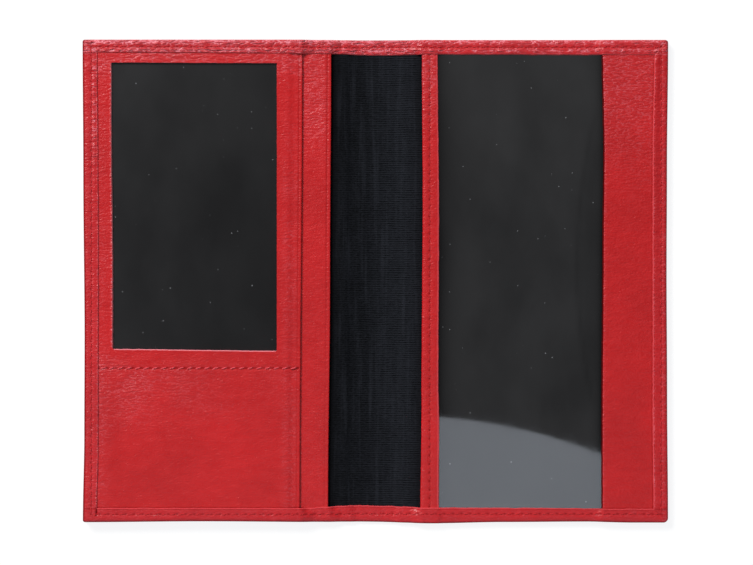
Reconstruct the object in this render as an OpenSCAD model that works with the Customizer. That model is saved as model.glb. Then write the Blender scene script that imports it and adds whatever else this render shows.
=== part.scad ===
// Checkbook cover, opened out flat with its inside face up.
// X runs across both covers, Y along the fold and Z up from the outside leather.
// The origin lies under the middle of the fold, on the surface that the cover rests on.
// Leather, fabric and film are shown as they lie when the pockets are empty.

/* [Cover] */
// Width across both covers, opened out flat
open_w = 204; // [190:1:220]
// Height, along the fold
cover_h = 168; // [160:1:180]
// Radius of the four outer corners
corner_r = 1.2; // [1.2:0.1:4]

/* [Outer leather] */
// Thickness of the outer leather
leather_t = 1; // [0.8:0.1:1.4]
// Thickness of the leather where it is pared down and turned over the layers
turn_t = 0.6; // [0.4:0.1:0.8]
// Radius of the fold along every outer edge
edge_r = 0.9; // [0.6:0.1:0.9]
// Width of the turned edge down the left side
left_hem = 5; // [4:0.1:7]
// Width of the turned edge down the right side
right_hem = 4.2; // [4:0.1:7]
// Width of the turned edges along the top and bottom of both covers
end_hem = 4.7; // [4:0.1:7]
// Width of the turned edges across the spine
spine_hem = 5.4; // [4:0.1:7]
// Length along X over which a turned edge comes down one millimetre where a layer ends
slope_run = 2; // [1:0.1:2.5]

/* [Sheet thicknesses] */
// Card that keeps each cover flat
stiffener_t = 0.5; // [0.3:0.1:0.8]
// Ribbed lining
lining_t = 0.25; // [0.2:0.05:0.4]
// Fabric wall of the rear pocket
fabric_t = 0.25; // [0.2:0.05:0.4]
// Leather facing along the rear pocket's mouth
facing_t = 0.6; // [0.5:0.1:0.8]
// Clear film of the window and of the right pocket
film_t = 0.2; // [0.15:0.05:0.3]
// Leather panel round the window
panel_t = 0.8; // [0.6:0.1:1]
// Leather strip along the outer side of the clear pocket
strip_t = 0.7; // [0.6:0.1:1]
// Each leg of the leather folded round the clear pocket's mouth
binding_t = 0.45; // [0.3:0.05:0.6]
// Space left in an empty pocket
pocket_gap = 0.4; // [0.3:0.05:0.8]

/* [Pocket mouths] */
// Distance from a leather mouth to the crease pressed in beside it
crease_in = 1.2; // [0.8:0.1:2]
// Radius of that crease, and of the one across each turned corner
crease_r = 0.16; // [0.1:0.02:0.2]
// Radius that the upper edge of a leather mouth is rubbed down to
mouth_r = 0.3; // [0.1:0.05:0.4]

/* [Left cover] */
// Distance from the fold's middle to the rear pocket's mouth
rear_mouth = 15.9; // [14:0.1:20]
// Width of the leather facing behind that mouth, which ends short of the window
facing_w = 17.5; // [12:0.5:18]
// Distance from the fold's middle to the window panel's mouth
panel_mouth = 25.8; // [24:0.1:30]
// Width of the window
window_w = 57.4; // [50:0.1:60]
// Height of the window
window_h = 100; // [90:1:104]
// Leather left between the cover's left edge and the window
window_side = 10.1; // [8:0.1:11]
// Leather left between the cover's top edge and the window
window_top = 7.9; // [7:0.1:12]
// Radius of the window's corners
window_r = 0.6; // [0.4:0.1:2]
// Distance from the cover's top edge to the seam that divides the pocket in two
divider = 114.6; // [114:0.1:118]
// Film held behind the leather past the window's mouth side and past the divider seam
film_lap = 3.5; // [2:0.5:4]

/* [Right cover] */
// Distance from the fold's middle to the clear pocket's mouth
film_mouth = 16; // [14:0.1:20]
// Width of the binding along that mouth
binding_w = 6.1; // [5:0.1:8]
// Distance from the fold's middle to the outer strip
strip_start = 79.4; // [70:0.1:85]

/* [Fold] */
// Distance from the fold's middle to the edge of each stiffener
stiffener_edge = 10.5; // [8:0.1:12]
// Space between the other edges of a stiffener and the leather turned round them
stiffener_play = 1; // [0.5:0.1:2]
// Width of the spine between its two fold lines
spine_w = 6.8; // [6.8:0.1:9]
// Space between the spine and each cover, along a fold line
seam_gap = 0.06; // [0.04:0.01:0.1]

/* [Hidden] */
$fn = 48;

RED_LEATHER = [0.70, 0.15, 0.17];
DEEP_LEATHER = [0.64, 0.13, 0.15];
BLACK_LINING = [0.12, 0.12, 0.14];
GREY_CARD = [0.62, 0.60, 0.56];
CLEAR_FILM = [0.80, 0.84, 0.88, 0.45];

half_w = open_w / 2;
half_h = cover_h / 2;

// Levels shared by both covers
stiffener_top = leather_t + stiffener_t;
lining_top = stiffener_top + lining_t;

// Levels in the left cover
fabric_base = lining_top + pocket_gap;
fabric_top = fabric_base + fabric_t;
facing_top = fabric_top + facing_t;
window_film_base = facing_top + pocket_gap;
panel_base = window_film_base + film_t;
panel_top = panel_base + panel_t;

// Levels in the right cover, where the binding's lower leg just clears the lining
binding_clear = 0.1;
clear_film_base = lining_top + binding_clear + binding_t;
clear_film_top = clear_film_base + film_t;
binding_top = clear_film_top + binding_t;
strip_top = clear_film_top + strip_t;

// Each cover folds about an axis at the top of the spine's lining, and both stand upright on
// the spine when the cover is closed
fold_angle = 90;
axis_z = leather_t + lining_t;
fold_x = spine_w / 2;
left_rise = panel_top + turn_t - axis_z;
right_rise = strip_top + turn_t - axis_z;
echo(gap_between_closed_covers = spine_w - left_rise - right_rise);

// The lining comes down from the stiffener to the outer leather over this width
lining_slope = 1.2;
lining_slope_end = stiffener_edge - lining_slope;

// Places on the left cover
window_x = window_side - half_w;
window_y = half_h - window_top - window_h;
divider_y = half_h - divider;

// Margin by which a cutting shape runs past what it cuts
past = 1;

// Turns a flat shape drawn in X and Z into a bar along Y
module along_y(length) {
    rotate([90, 0, 0])
        linear_extrude(length, center = true)
            children();
}

// Turns a flat shape drawn in Y and Z into a bar along X, from x0 to x1
module along_x(x0, x1) {
    translate([x0, 0, 0])
        rotate([90, 0, 90])
            linear_extrude(x1 - x0)
                children();
}

// A rectangle centred on the vertical axis and standing on the horizontal one, with four round
// corners, which are smaller on a thin one so that a little of its sides stays straight
module round_bar(width, height, radius) {
    r = min(radius, 0.48 * height);
    translate([r - width / 2, 0])
        square([width - 2 * r, height]);
    translate([-width / 2, r])
        square([width, height - 2 * r]);
    for (x = [r - width / 2, width / 2 - r], y = [r, height - r])
        translate([x, y])
            circle(r);
}

// Everything between the fold lines at x0 and x1, leaning in above the fold axis,
// so that the turned edges of neighbours clear each other when the cover is closed
module fold_space(x0, x1) {
    a = x0 + seam_gap / 2;
    b = x1 - seam_gap / 2;
    rise = left_rise + past;
    lean = rise * tan(fold_angle / 2);
    along_y(cover_h + 2 * past)
        polygon([
            [a, -past], [b, -past], [b, axis_z],
            [b - lean, axis_z + rise], [a + lean, axis_z + rise], [a, axis_z]
        ]);
}

// The leather from x0 to x1: it covers the back, turns round the top and bottom
// and closes over layers that reach up to stack_top
module leather_run(x0, x1, stack_top, hem) {
    slot_w = cover_h - 2 * turn_t;
    gap_w = cover_h - 2 * hem;
    along_x(x0, x1)
        difference() {
            round_bar(cover_h, stack_top + turn_t, edge_r);
            translate([-slot_w / 2, leather_t])
                square([slot_w, stack_top - leather_t]);
            translate([-gap_w / 2, leather_t])
                square([gap_w, stack_top + turn_t]);
        }
}

// The slopes that ease the step at x, on both turned edges, from one run's top to the next one's
module step_slopes(x, top_before, top_after, hem) {
    drop = abs(top_before - top_after);
    reach = (top_before > top_after ? 1 : -1) * slope_run * drop;
    flat_w = hem - edge_r;
    for (side = [-1, 1])
        translate([x, side * (half_h - edge_r - flat_w / 2), min(top_before, top_after) + turn_t])
            along_y(flat_w)
                polygon([[0, 0], [0, drop], [reach, 0]]);
}

// Half of the turned edge's profile, from the outer fold at x = 0 inwards
module turned_profile(hem, stack_top) {
    difference() {
        intersection() {
            translate([half_w, 0])
                round_bar(open_w, stack_top + turn_t, edge_r);
            square([hem, stack_top + turn_t]);
        }
        translate([turn_t, leather_t])
            square([hem, stack_top - leather_t]);
    }
}

// The turned edge down the left side of a cover, with its two corners
module turned_side(stack_top, hem) {
    translate([-half_w, 0, 0])
        along_y(cover_h - 2 * corner_r)
            turned_profile(hem, stack_top);
    for (side = [-1, 1])
        translate([corner_r - half_w, side * (half_h - corner_r), 0])
            rotate([0, 0, side > 0 ? 90 : 180])
                rotate_extrude(angle = 90)
                    translate([corner_r, 0])
                        mirror([1, 0])
                            turned_profile(corner_r, stack_top);
}

// The creases where two turned edges meet, each on the line from the inner corner to the outer
// one, over the flat part of the leather
module corner_creases(stack_top, hem) {
    inset = 0.5;
    run = max(inset, norm([hem, end_hem]) - inset - sqrt(2) * (corner_r + crease_r));
    for (side = [-1, 1])
        translate([hem - half_w, side * (half_h - end_hem), stack_top + turn_t])
            rotate([0, 0, side * atan2(end_hem, -hem)])
                translate([inset, 0, 0])
                    rotate([0, 90, 0])
                        cylinder(h = run, r = crease_r);
}

// The outline of a sheet from the turned edge on the left to x1, short of both turned ends
module sheet_outline(x1) {
    inner_r = corner_r - turn_t;
    x0 = turn_t - half_w;
    y1 = half_h - turn_t;
    translate([x0 + inner_r, -y1])
        square([x1 - x0 - inner_r, 2 * y1]);
    translate([x0, inner_r - y1])
        square([2 * inner_r, 2 * (y1 - inner_r)]);
    for (side = [-1, 1])
        translate([x0 + inner_r, side * (y1 - inner_r)])
            circle(inner_r);
}

// A flat sheet between two levels, from the turned edge on the left to x1
module left_sheet(x1, z0, z1) {
    translate([0, 0, z0])
        linear_extrude(z1 - z0)
            sheet_outline(x1);
}

// The same on the right, from x0 to the turned edge
module right_sheet(x0, z0, z1) {
    mirror([1, 0, 0])
        left_sheet(-x0, z0, z1);
}

// The profile of a leather sheet with its mouth at x = 0: the mouth's upper edge is rubbed
// round, and a crease is pressed in beside it
module mouth_profile(width, thickness) {
    difference() {
        union() {
            translate([-width, 0])
                square([width, thickness - mouth_r]);
            translate([-width, 0])
                square([width - mouth_r, thickness]);
            translate([-mouth_r, thickness - mouth_r])
                circle(mouth_r);
        }
        translate([-crease_in, thickness])
            circle(crease_r);
    }
}

// The card in a cover, cut a little smaller than the cover so that the leather turns round freely
module stiffener() {
    x0 = turn_t + stiffener_play - half_w;
    card_h = cover_h - 2 * (turn_t + stiffener_play);
    translate([x0, -card_h / 2, leather_t])
        cube([-stiffener_edge - x0, card_h, stiffener_t]);
}

// The lining of a cover, which lies on the stiffener and comes down to the leather at the spine
module cover_lining() {
    intersection() {
        left_sheet(-fold_x, leather_t, lining_top);
        along_y(cover_h)
            polygon([
                [-half_w, stiffener_top], [-stiffener_edge, stiffener_top],
                [-lining_slope_end, leather_t], [0, leather_t],
                [0, axis_z], [-lining_slope_end, axis_z],
                [-stiffener_edge, lining_top], [-half_w, lining_top]
            ]);
        fold_space(-half_w - left_rise - past, -fold_x);
    }
}

// The leather of one cover: its outer side, then the run from start to the spine.
// Each step is the end of a run, the top of the layers under it and its hem's width
module cover_leather(side_hem, side_top, steps) {
    starts = [corner_r - half_w, for (step = steps) step[0]];
    intersection() {
        difference() {
            union() {
                turned_side(side_top, side_hem);
                for (i = [0 : len(steps) - 1])
                    leather_run(starts[i], steps[i][0], steps[i][1], steps[i][2]);
                for (i = [1 : len(steps) - 1])
                    step_slopes(starts[i], steps[i - 1][1], steps[i][1], min(steps[i - 1][2], steps[i][2]));
            }
            corner_creases(side_top, side_hem);
        }
        fold_space(-half_w - left_rise - past, -fold_x);
    }
}

module left_cover_leather() {
    color(RED_LEATHER)
        cover_leather(left_hem, panel_top, [
            [-panel_mouth, panel_top, end_hem],
            [-rear_mouth, facing_top, end_hem],
            [-lining_slope_end, lining_top, spine_hem],
            [0, axis_z, spine_hem]
        ]);
}

module right_cover_leather() {
    color(RED_LEATHER)
        mirror([1, 0, 0])
            cover_leather(right_hem, strip_top, [
                [-strip_start, strip_top, end_hem],
                [-film_mouth - binding_w, clear_film_top, end_hem],
                [-film_mouth, binding_top, end_hem],
                [-lining_slope_end, lining_top, spine_hem],
                [0, axis_z, spine_hem]
            ]);
}

module left_stiffener() {
    color(GREY_CARD)
        stiffener();
}

module right_stiffener() {
    color(GREY_CARD)
        mirror([1, 0, 0])
            stiffener();
}

module left_lining() {
    color(BLACK_LINING)
        cover_lining();
}

module right_lining() {
    color(BLACK_LINING)
        mirror([1, 0, 0])
            cover_lining();
}

module rear_pocket_fabric() {
    color(BLACK_LINING)
        left_sheet(-rear_mouth, fabric_base, fabric_top);
}

module rear_pocket_facing() {
    slot_w = cover_h - 2 * turn_t;
    color(DEEP_LEATHER)
        translate([-rear_mouth, 0, fabric_top])
            along_y(slot_w)
                mouth_profile(facing_w, facing_t);
}

// The film is glued behind the leather and caught by the divider seam at its lower edge
module window_film() {
    film_right = window_x + window_w + film_lap;
    film_low = divider_y - film_lap;
    color(CLEAR_FILM)
        intersection() {
            left_sheet(film_right, window_film_base, panel_base);
            translate([-half_w, film_low, 0])
                cube([half_w, cover_h, panel_base]);
        }
}

module window_panel() {
    color(RED_LEATHER)
        difference() {
            intersection() {
                left_sheet(-panel_mouth, panel_base, panel_top);
                translate([-panel_mouth, 0, panel_base])
                    along_y(cover_h)
                        mouth_profile(half_w, panel_t);
            }
            translate([window_x + window_w / 2, window_y, panel_base - past])
                linear_extrude(panel_t + 2 * past)
                    round_bar(window_w, window_h, window_r);
        }
}

// The leather of the spine, with its short turned edges at the top and bottom
module spine_leather() {
    color(RED_LEATHER)
        intersection() {
            leather_run(-fold_x, fold_x, axis_z, spine_hem);
            fold_space(-fold_x, fold_x);
        }
}

module spine_lining() {
    slot_w = cover_h - 2 * turn_t;
    color(BLACK_LINING)
        translate([seam_gap / 2 - fold_x, -slot_w / 2, leather_t])
            cube([spine_w - seam_gap, slot_w, lining_t]);
}

// The film's own mouth edge is held between the binding's two legs
module clear_pocket_film() {
    color(CLEAR_FILM)
        right_sheet(film_mouth + binding_t, clear_film_base, clear_film_top);
}

// A strip of leather folded round the film's edge, its round fold towards the spine
module film_binding() {
    slot_w = cover_h - 2 * turn_t;
    depth = 2 * binding_t + film_t;
    color(DEEP_LEATHER)
        translate([film_mouth, 0, clear_film_base - binding_t])
            along_y(slot_w)
                difference() {
                    union() {
                        translate([depth / 2, 0])
                            square([binding_w - depth / 2, depth]);
                        translate([depth / 2, depth / 2])
                            circle(depth / 2);
                    }
                    translate([binding_t, binding_t])
                        square([binding_w, film_t]);
                }
}

module outer_strip() {
    color(DEEP_LEATHER)
        right_sheet(strip_start, clear_film_top, strip_top);
}

left_cover_leather();
left_stiffener();
left_lining();
rear_pocket_fabric();
rear_pocket_facing();
window_film();
window_panel();
spine_leather();
spine_lining();
right_cover_leather();
right_stiffener();
right_lining();
clear_pocket_film();
film_binding();
outer_strip();
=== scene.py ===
"""A red leather checkbook cover, opened out flat on a white table and seen from straight above.

Every length is in millimetres until a mesh is made. X runs across both covers, Y along the fold
and Z out of the inside face. The leather, cloth and film pieces are built as closed sheets over
grids, with their folds, wrinkles and needle holes in the mesh and their grain in the materials.
"""

import math

import bmesh
import bpy
import numpy as np
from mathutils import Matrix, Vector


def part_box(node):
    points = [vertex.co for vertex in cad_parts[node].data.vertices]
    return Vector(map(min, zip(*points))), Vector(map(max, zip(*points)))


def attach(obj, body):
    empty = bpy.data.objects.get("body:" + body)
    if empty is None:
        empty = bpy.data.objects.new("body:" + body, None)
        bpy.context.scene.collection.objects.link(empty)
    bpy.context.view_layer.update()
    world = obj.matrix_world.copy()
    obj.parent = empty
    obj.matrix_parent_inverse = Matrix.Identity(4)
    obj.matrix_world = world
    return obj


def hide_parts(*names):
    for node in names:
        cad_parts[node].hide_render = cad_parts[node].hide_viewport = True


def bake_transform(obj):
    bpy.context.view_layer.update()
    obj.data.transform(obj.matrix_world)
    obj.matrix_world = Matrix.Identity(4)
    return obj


MM = 0.001

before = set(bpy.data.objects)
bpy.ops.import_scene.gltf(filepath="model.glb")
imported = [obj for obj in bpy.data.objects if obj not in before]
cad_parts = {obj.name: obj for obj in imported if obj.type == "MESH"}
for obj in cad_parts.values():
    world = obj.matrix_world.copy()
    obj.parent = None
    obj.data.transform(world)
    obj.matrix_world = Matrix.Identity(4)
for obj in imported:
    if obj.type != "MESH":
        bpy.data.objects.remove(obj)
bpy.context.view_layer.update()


# Sizes from the CAD parts


def cad_box(name):
    """Lowest and highest corner of a CAD node, in millimetres."""
    low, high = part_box(name)
    return np.array(low) / MM, np.array(high) / MM


PANEL_LOW, PANEL_HIGH = cad_box("window_panel")
WINDOW_FILM_LOW, WINDOW_FILM_HIGH = cad_box("window_film")
FACING_LOW, FACING_HIGH = cad_box("rear_pocket_facing")
FABRIC_LOW, FABRIC_HIGH = cad_box("rear_pocket_fabric")
_, LINING_HIGH = cad_box("left_lining")
CARD_LOW, CARD_HIGH = cad_box("left_stiffener")
_, SPINE_HIGH = cad_box("spine_lining")
BINDING_LOW, BINDING_HIGH = cad_box("film_binding")
CLEAR_LOW, CLEAR_HIGH = cad_box("clear_pocket_film")
STRIP_LOW, STRIP_HIGH = cad_box("outer_strip")
LEATHER_LOW, LEATHER_HIGH = cad_box("left_cover_leather")

HALF_W = -LEATHER_LOW[0]
HALF_H = LEATHER_HIGH[1]
LEATHER_T = CARD_LOW[2]
TURN_T = LEATHER_HIGH[2] - PANEL_HIGH[2]
WALL = 0.6
TUCK = 1.6
HELD_X = HALF_W - TUCK
HELD_Y = HALF_H - TUCK
SIDE_WORD = {-1: "left", 1: "right"}
LINING_RUN = 2.2
LINING_STEP = CARD_HIGH[0] + LINING_RUN

# Heights of the layers' tops along X, each up to where the layer ends
LAYER_TOPS = [
    (PANEL_HIGH[0], PANEL_HIGH[2]),
    (FACING_HIGH[0], FACING_HIGH[2]),
    (LINING_STEP, LINING_HIGH[2]),
    (-LINING_STEP, SPINE_HIGH[2]),
    (BINDING_LOW[0], LINING_HIGH[2]),
    (BINDING_HIGH[0], BINDING_HIGH[2]),
    (STRIP_LOW[0], CLEAR_HIGH[2]),
    (HALF_W, STRIP_HIGH[2]),
]
STEP_RUN = 3.2
INNER_STEP_RUN = 1.4
# Where the turned edge shows the end of a layer under it, and how high it rises there
LAYER_RIDGES = [
    (PANEL_HIGH[0], 0.05), (FACING_HIGH[0], 0.06), (BINDING_LOW[0], 0.02),
    (BINDING_HIGH[0], 0.03), (STRIP_LOW[0], 0.04),
]

# The outline's sides and the turned edge's inner lines, as (place along the side, coordinate)
LEFT_SIDE = [(-84, -101.9), (-54, -101.4), (-20, -101.3), (38, -101.75), (84, -102.0)]
RIGHT_SIDE = [(-84, 102.3), (-40, 102.0), (2, 101.8), (40, 101.95), (84, 102.35)]
BOTTOM_SIDE = [
    (-102, -84.3), (-60, -84.0), (-5, -84.35), (20, -84.85), (45, -84.4), (74, -84.25), (90, -84.55)
]
LEFT_INNER = [(-80, -96.9), (-60, -96.4), (20, -96.3), (80, -96.7)]
RIGHT_INNER = [(-80, 97.15), (-50, 96.85), (45, 96.85), (80, 97.5)]
TOP_INNER = [(-98, 79.5), (-15, 79.05), (0, 78.6), (16, 78.85), (98, 78.6)]
BOTTOM_INNER = [(-98, -79.3), (-25, -79.35), (-7, -78.6), (10, -78.95), (17, -79.3), (98, -79.7)]
CORNER_RADIUS = {(-1, 1): 0.8, (-1, -1): 0.8, (1, 1): 1.0, (1, -1): 1.6}
FOLD_RADIUS = 0.9
CREASE_IN = 1.2
FACING_CREASE_IN = 1.35

# Seams: the edge seam's corners, the stitch's length and the thread
SEAM_TOP = 81.47
SEAM_BOTTOM = -81.5
SEAM_SIDE = {-1: -98.95, 1: 99.8}
STITCH = 3.0
DIVIDER_Y = -30.55
BINDING_SEAM_X = 19.0
SPINE_FOLDS = [(-10.4, 0.04, 0.9), (-3.6, 0.09, 0.8), (0.6, 0.07, 0.7), (8.6, 0.04, 0.8)]
THREAD_R = 0.2
THREAD_TURN = 0.85
STITCH_GAP = 0.14
PER_STITCH = 8

# Edges of the inner pieces, as (Y, X)
PANEL_MOUTH = [(-80, -26.2), (80, -25.3)]
FACING_MOUTH = [(-80, -16.35), (0, -15.62), (80, -15.25)]
BINDING_LEFT = [(-80, 15.75), (-52, 16.15), (30, 16.6), (80, 16.35)]
BINDING_RIGHT = [(-80, 22.3), (-50, 22.45), (-36, 22.15), (20, 22.4), (80, 21.95)]
STRIP_EDGE = [(-50, 79.0), (10, 79.35), (45, 79.65), (80, 79.1)]
WINDOW_LEFT, WINDOW_RIGHT, WINDOW_TOP, WINDOW_LOW = -91.85, -34.25, 76.0, -23.9


# Numbers and curves

CLOSEST_LINES = 0.12


def smooth(t):
    """Eases from 0 to 1."""
    t = np.clip(t, 0, 1)
    return t * t * (3 - 2 * t)


def eased(t, points):
    """A smooth curve through a few (place, value) points, level at each of them."""
    places = np.array([p[0] for p in points], float)
    values = np.array([p[1] for p in points], float)
    t = np.asarray(t, float)
    k = np.clip(np.searchsorted(places, t) - 1, 0, len(places) - 2)
    share = smooth((t - places[k]) / (places[k + 1] - places[k]))
    return values[k] + (values[k + 1] - values[k]) * share


def bump(d, width):
    """A soft peak of height 1 at d = 0."""
    return np.exp(-((d / width) ** 2))


def noise(x, y, size_x, size_y, seed):
    """Smooth noise between -1 and 1, with features of about these sizes."""
    table = np.random.default_rng(seed).uniform(-1, 1, (128, 128))
    u, v = np.asarray(x) / size_x + 37.3, np.asarray(y) / size_y + 11.7
    i, j = np.floor(u).astype(int), np.floor(v).astype(int)
    fu, fv = smooth(u - i), smooth(v - j)
    low = table[i % 128, j % 128] * (1 - fu) + table[(i + 1) % 128, j % 128] * fu
    high = table[i % 128, (j + 1) % 128] * (1 - fu) + table[(i + 1) % 128, (j + 1) % 128] * fu
    return low * (1 - fv) + high * fv


def layered(x, y, *layers):
    """A sum of noises, each given as (height, size along X, size along Y, seed)."""
    return sum(height * noise(x, y, *rest) for height, *rest in layers)


def uneven(along, height, size, seed):
    """How far a line strays along its length."""
    return height * noise(along, along, size, size, seed)


def lines(low, high, step, marks=(), offsets=(-0.5, -0.2, 0, 0.2, 0.5)):
    """Grid lines from low to high, closer together beside the marks and both ends."""
    fixed = [low, high, *marks]
    values = [*np.linspace(low, high, max(2, round((high - low) / step) + 1))]
    values += [m + o for m in fixed for o in offsets]
    values = sorted(v for v in values if low <= v <= high)
    kept = []
    for v in values:
        exact = any(abs(v - m) < 1e-9 for m in fixed)
        if kept and v - kept[-1] < CLOSEST_LINES:
            if exact:
                kept[-1] = v
            continue
        kept.append(v)
    return np.array(kept)


def stack_top(x, slope_run=STEP_RUN):
    """Height of the layers under the turned edge at x, with the slopes where a layer ends."""
    xs, zs = [-HALF_W], [LAYER_TOPS[0][1]]
    for (end, before), (_, after) in zip(LAYER_TOPS, LAYER_TOPS[1:]):
        run = slope_run * abs(before - after)
        xs += [end, end + run] if before > after else [end - run, end]
        zs += [before, after]
    xs.append(HALF_W)
    zs.append(LAYER_TOPS[-1][1])
    spread = (-0.6, -0.3, 0, 0.3, 0.6)
    return sum(np.interp(np.asarray(x) + s, xs, zs) for s in spread) / len(spread)


class Seam:
    """A straight row of stitches from start to end."""

    row_width, row_depth = 0.55, 0.07
    hole_radius, hole_depth = 0.32, 0.08

    def __init__(self, start, end):
        self.start = np.array(start, float)
        self.along = np.array(end, float) - self.start
        self.length = np.linalg.norm(self.along)
        self.along /= self.length
        self.count = round(self.length / STITCH)
        self.pitch = self.length / self.count

    def read(self, x, y):
        """Distance along from the nearest hole, distance across, and 1 where the row runs."""
        dx, dy = x - self.start[0], y - self.start[1]
        t = dx * self.along[0] + dy * self.along[1]
        across = dy * self.along[0] - dx * self.along[1]
        hole = t - np.clip(np.round(t / self.pitch), 0, self.count) * self.pitch
        return hole, across, smooth(t + 1) * smooth(self.length + 1 - t)

    def pull(self, x, y):
        """How far the leather is drawn down: along the row, and more at each hole."""
        hole, across, inside = self.read(x, y)
        row = bump(across, self.row_width) * self.row_depth
        pit = bump(np.hypot(hole, across), self.hole_radius) * self.hole_depth
        return (row + pit) * inside

    def pucker(self, x, y, inner):
        """How far the leather swells between the holes, most on the side named by inner."""
        hole, across, inside = self.read(x, y)
        between = np.sin(math.pi * hole / self.pitch) ** 2
        swell = bump(across * inner - 1.45, 0.5) + 0.5 * bump(across * inner + 0.95, 0.5)
        return between * swell * inside

    def dark(self, x, y):
        """Painted shade in a needle hole: 1 at the hole, 0 away from it."""
        hole, across, inside = self.read(x, y)
        return bump(np.hypot(0.6 * hole, across), 0.3) * inside


EDGE_SEAMS = {
    side: [
        Seam((0, SEAM_TOP), (SEAM_SIDE[side], SEAM_TOP)),
        Seam((SEAM_SIDE[side], SEAM_TOP), (SEAM_SIDE[side], SEAM_BOTTOM)),
        Seam((SEAM_SIDE[side], SEAM_BOTTOM), (0, SEAM_BOTTOM)),
    ]
    for side in (-1, 1)
}
DIVIDER_SEAM = Seam((-96.4, DIVIDER_Y), (-26.9, DIVIDER_Y))
BINDING_SEAM = Seam((BINDING_SEAM_X, 79), (BINDING_SEAM_X, -79))


# Materials


def node(tree, kind, inputs=None, **settings):
    """Adds a shader node. An input is a value or another node's output socket."""
    made = tree.nodes.new("ShaderNode" + kind)
    for key, value in settings.items():
        setattr(made, key, value)
    for key, value in (inputs or {}).items():
        if isinstance(value, bpy.types.NodeSocket):
            tree.links.new(value, made.inputs[key])
        else:
            made.inputs[key].default_value = value
    return made


def new_material(name):
    """An empty material and its node tree."""
    made = bpy.data.materials.new(name)
    made.use_nodes = True
    made.node_tree.nodes.clear()
    return made, made.node_tree


def output(tree, shader):
    """Ends a material with this shader's output."""
    node(tree, "OutputMaterial", {"Surface": shader.outputs[0]})


def stored(tree, name, output_name="Fac"):
    """A value that the mesh keeps for each of its points."""
    return node(tree, "Attribute", attribute_name=name).outputs[output_name]


def rest_place(tree, scale):
    """Place on the piece at rest, in millimetres, times a scale for each axis."""
    place = stored(tree, "rest", "Vector")
    return node(tree, "VectorMath", {0: place, 1: scale}, operation="MULTIPLY").outputs[0]


def noise_node(tree, scale, detail, stretch=(1, 1, 1)):
    """Noise with this many features to a millimetre."""
    inputs = {"Vector": rest_place(tree, stretch), "Scale": scale, "Detail": detail}
    return node(tree, "TexNoise", inputs).outputs[0]


def math_node(tree, operation, a, b=0.0, c=0.0, clamp=False):
    """One step of arithmetic."""
    return node(tree, "Math", {0: a, 1: b, 2: c}, operation=operation, use_clamp=clamp).outputs[0]


def remap(tree, value, low, high, to_low, to_high):
    """Maps a value from one range to another and holds it there."""
    inputs = {0: value, 1: low, 2: high, 3: to_low, 4: to_high}
    return node(tree, "MapRange", inputs).outputs[0]


def mix_colour(tree, factor, a, b):
    """Mixes two colours."""
    made = node(tree, "Mix", data_type="RGBA")
    for socket, value in ((made.inputs[0], factor), (made.inputs[6], a), (made.inputs[7], b)):
        if isinstance(value, bpy.types.NodeSocket):
            tree.links.new(value, socket)
        else:
            socket.default_value = value
    return made.outputs[2]


def rgb(red, green, blue):
    """A colour as a shader takes it, from screen values up to 255."""
    def linear(c):
        c = c / 255
        return c / 12.92 if c <= 0.04045 else ((c + 0.055) / 1.055) ** 2.4

    return (linear(red), linear(green), linear(blue), 1.0)


# The pink that wear and painted highlights pale the leather to, and the deep red of painted shade
WEAR_AND_HIGHLIGHT_PINK = rgb(236, 126, 139)
PAINTED_SHADE_RED = (0.09, 0.0015, 0.002, 1.0)
WARP_PITCH = 0.42
FILM_OPACITY = 0.88


def toned(colour, factor, more=0.0):
    """The colour made darker or lighter."""
    return tuple(min(1.0, c * factor + more) for c in colour[:3]) + (1.0,)


def surface(tree, colour, rough, height=None, depth=0.0, strength=1.0, gloss=0.5):
    """Ends a material with a plain shader. Its bump is as deep as depth says, in metres."""
    inputs = {"Base Color": colour, "Roughness": rough, "Specular IOR Level": gloss}
    if height is not None:
        raised = {"Strength": strength, "Distance": depth, "Height": height}
        inputs["Normal"] = node(tree, "Bump", raised).outputs[0]
    output(tree, node(tree, "BsdfPrincipled", inputs))


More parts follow.
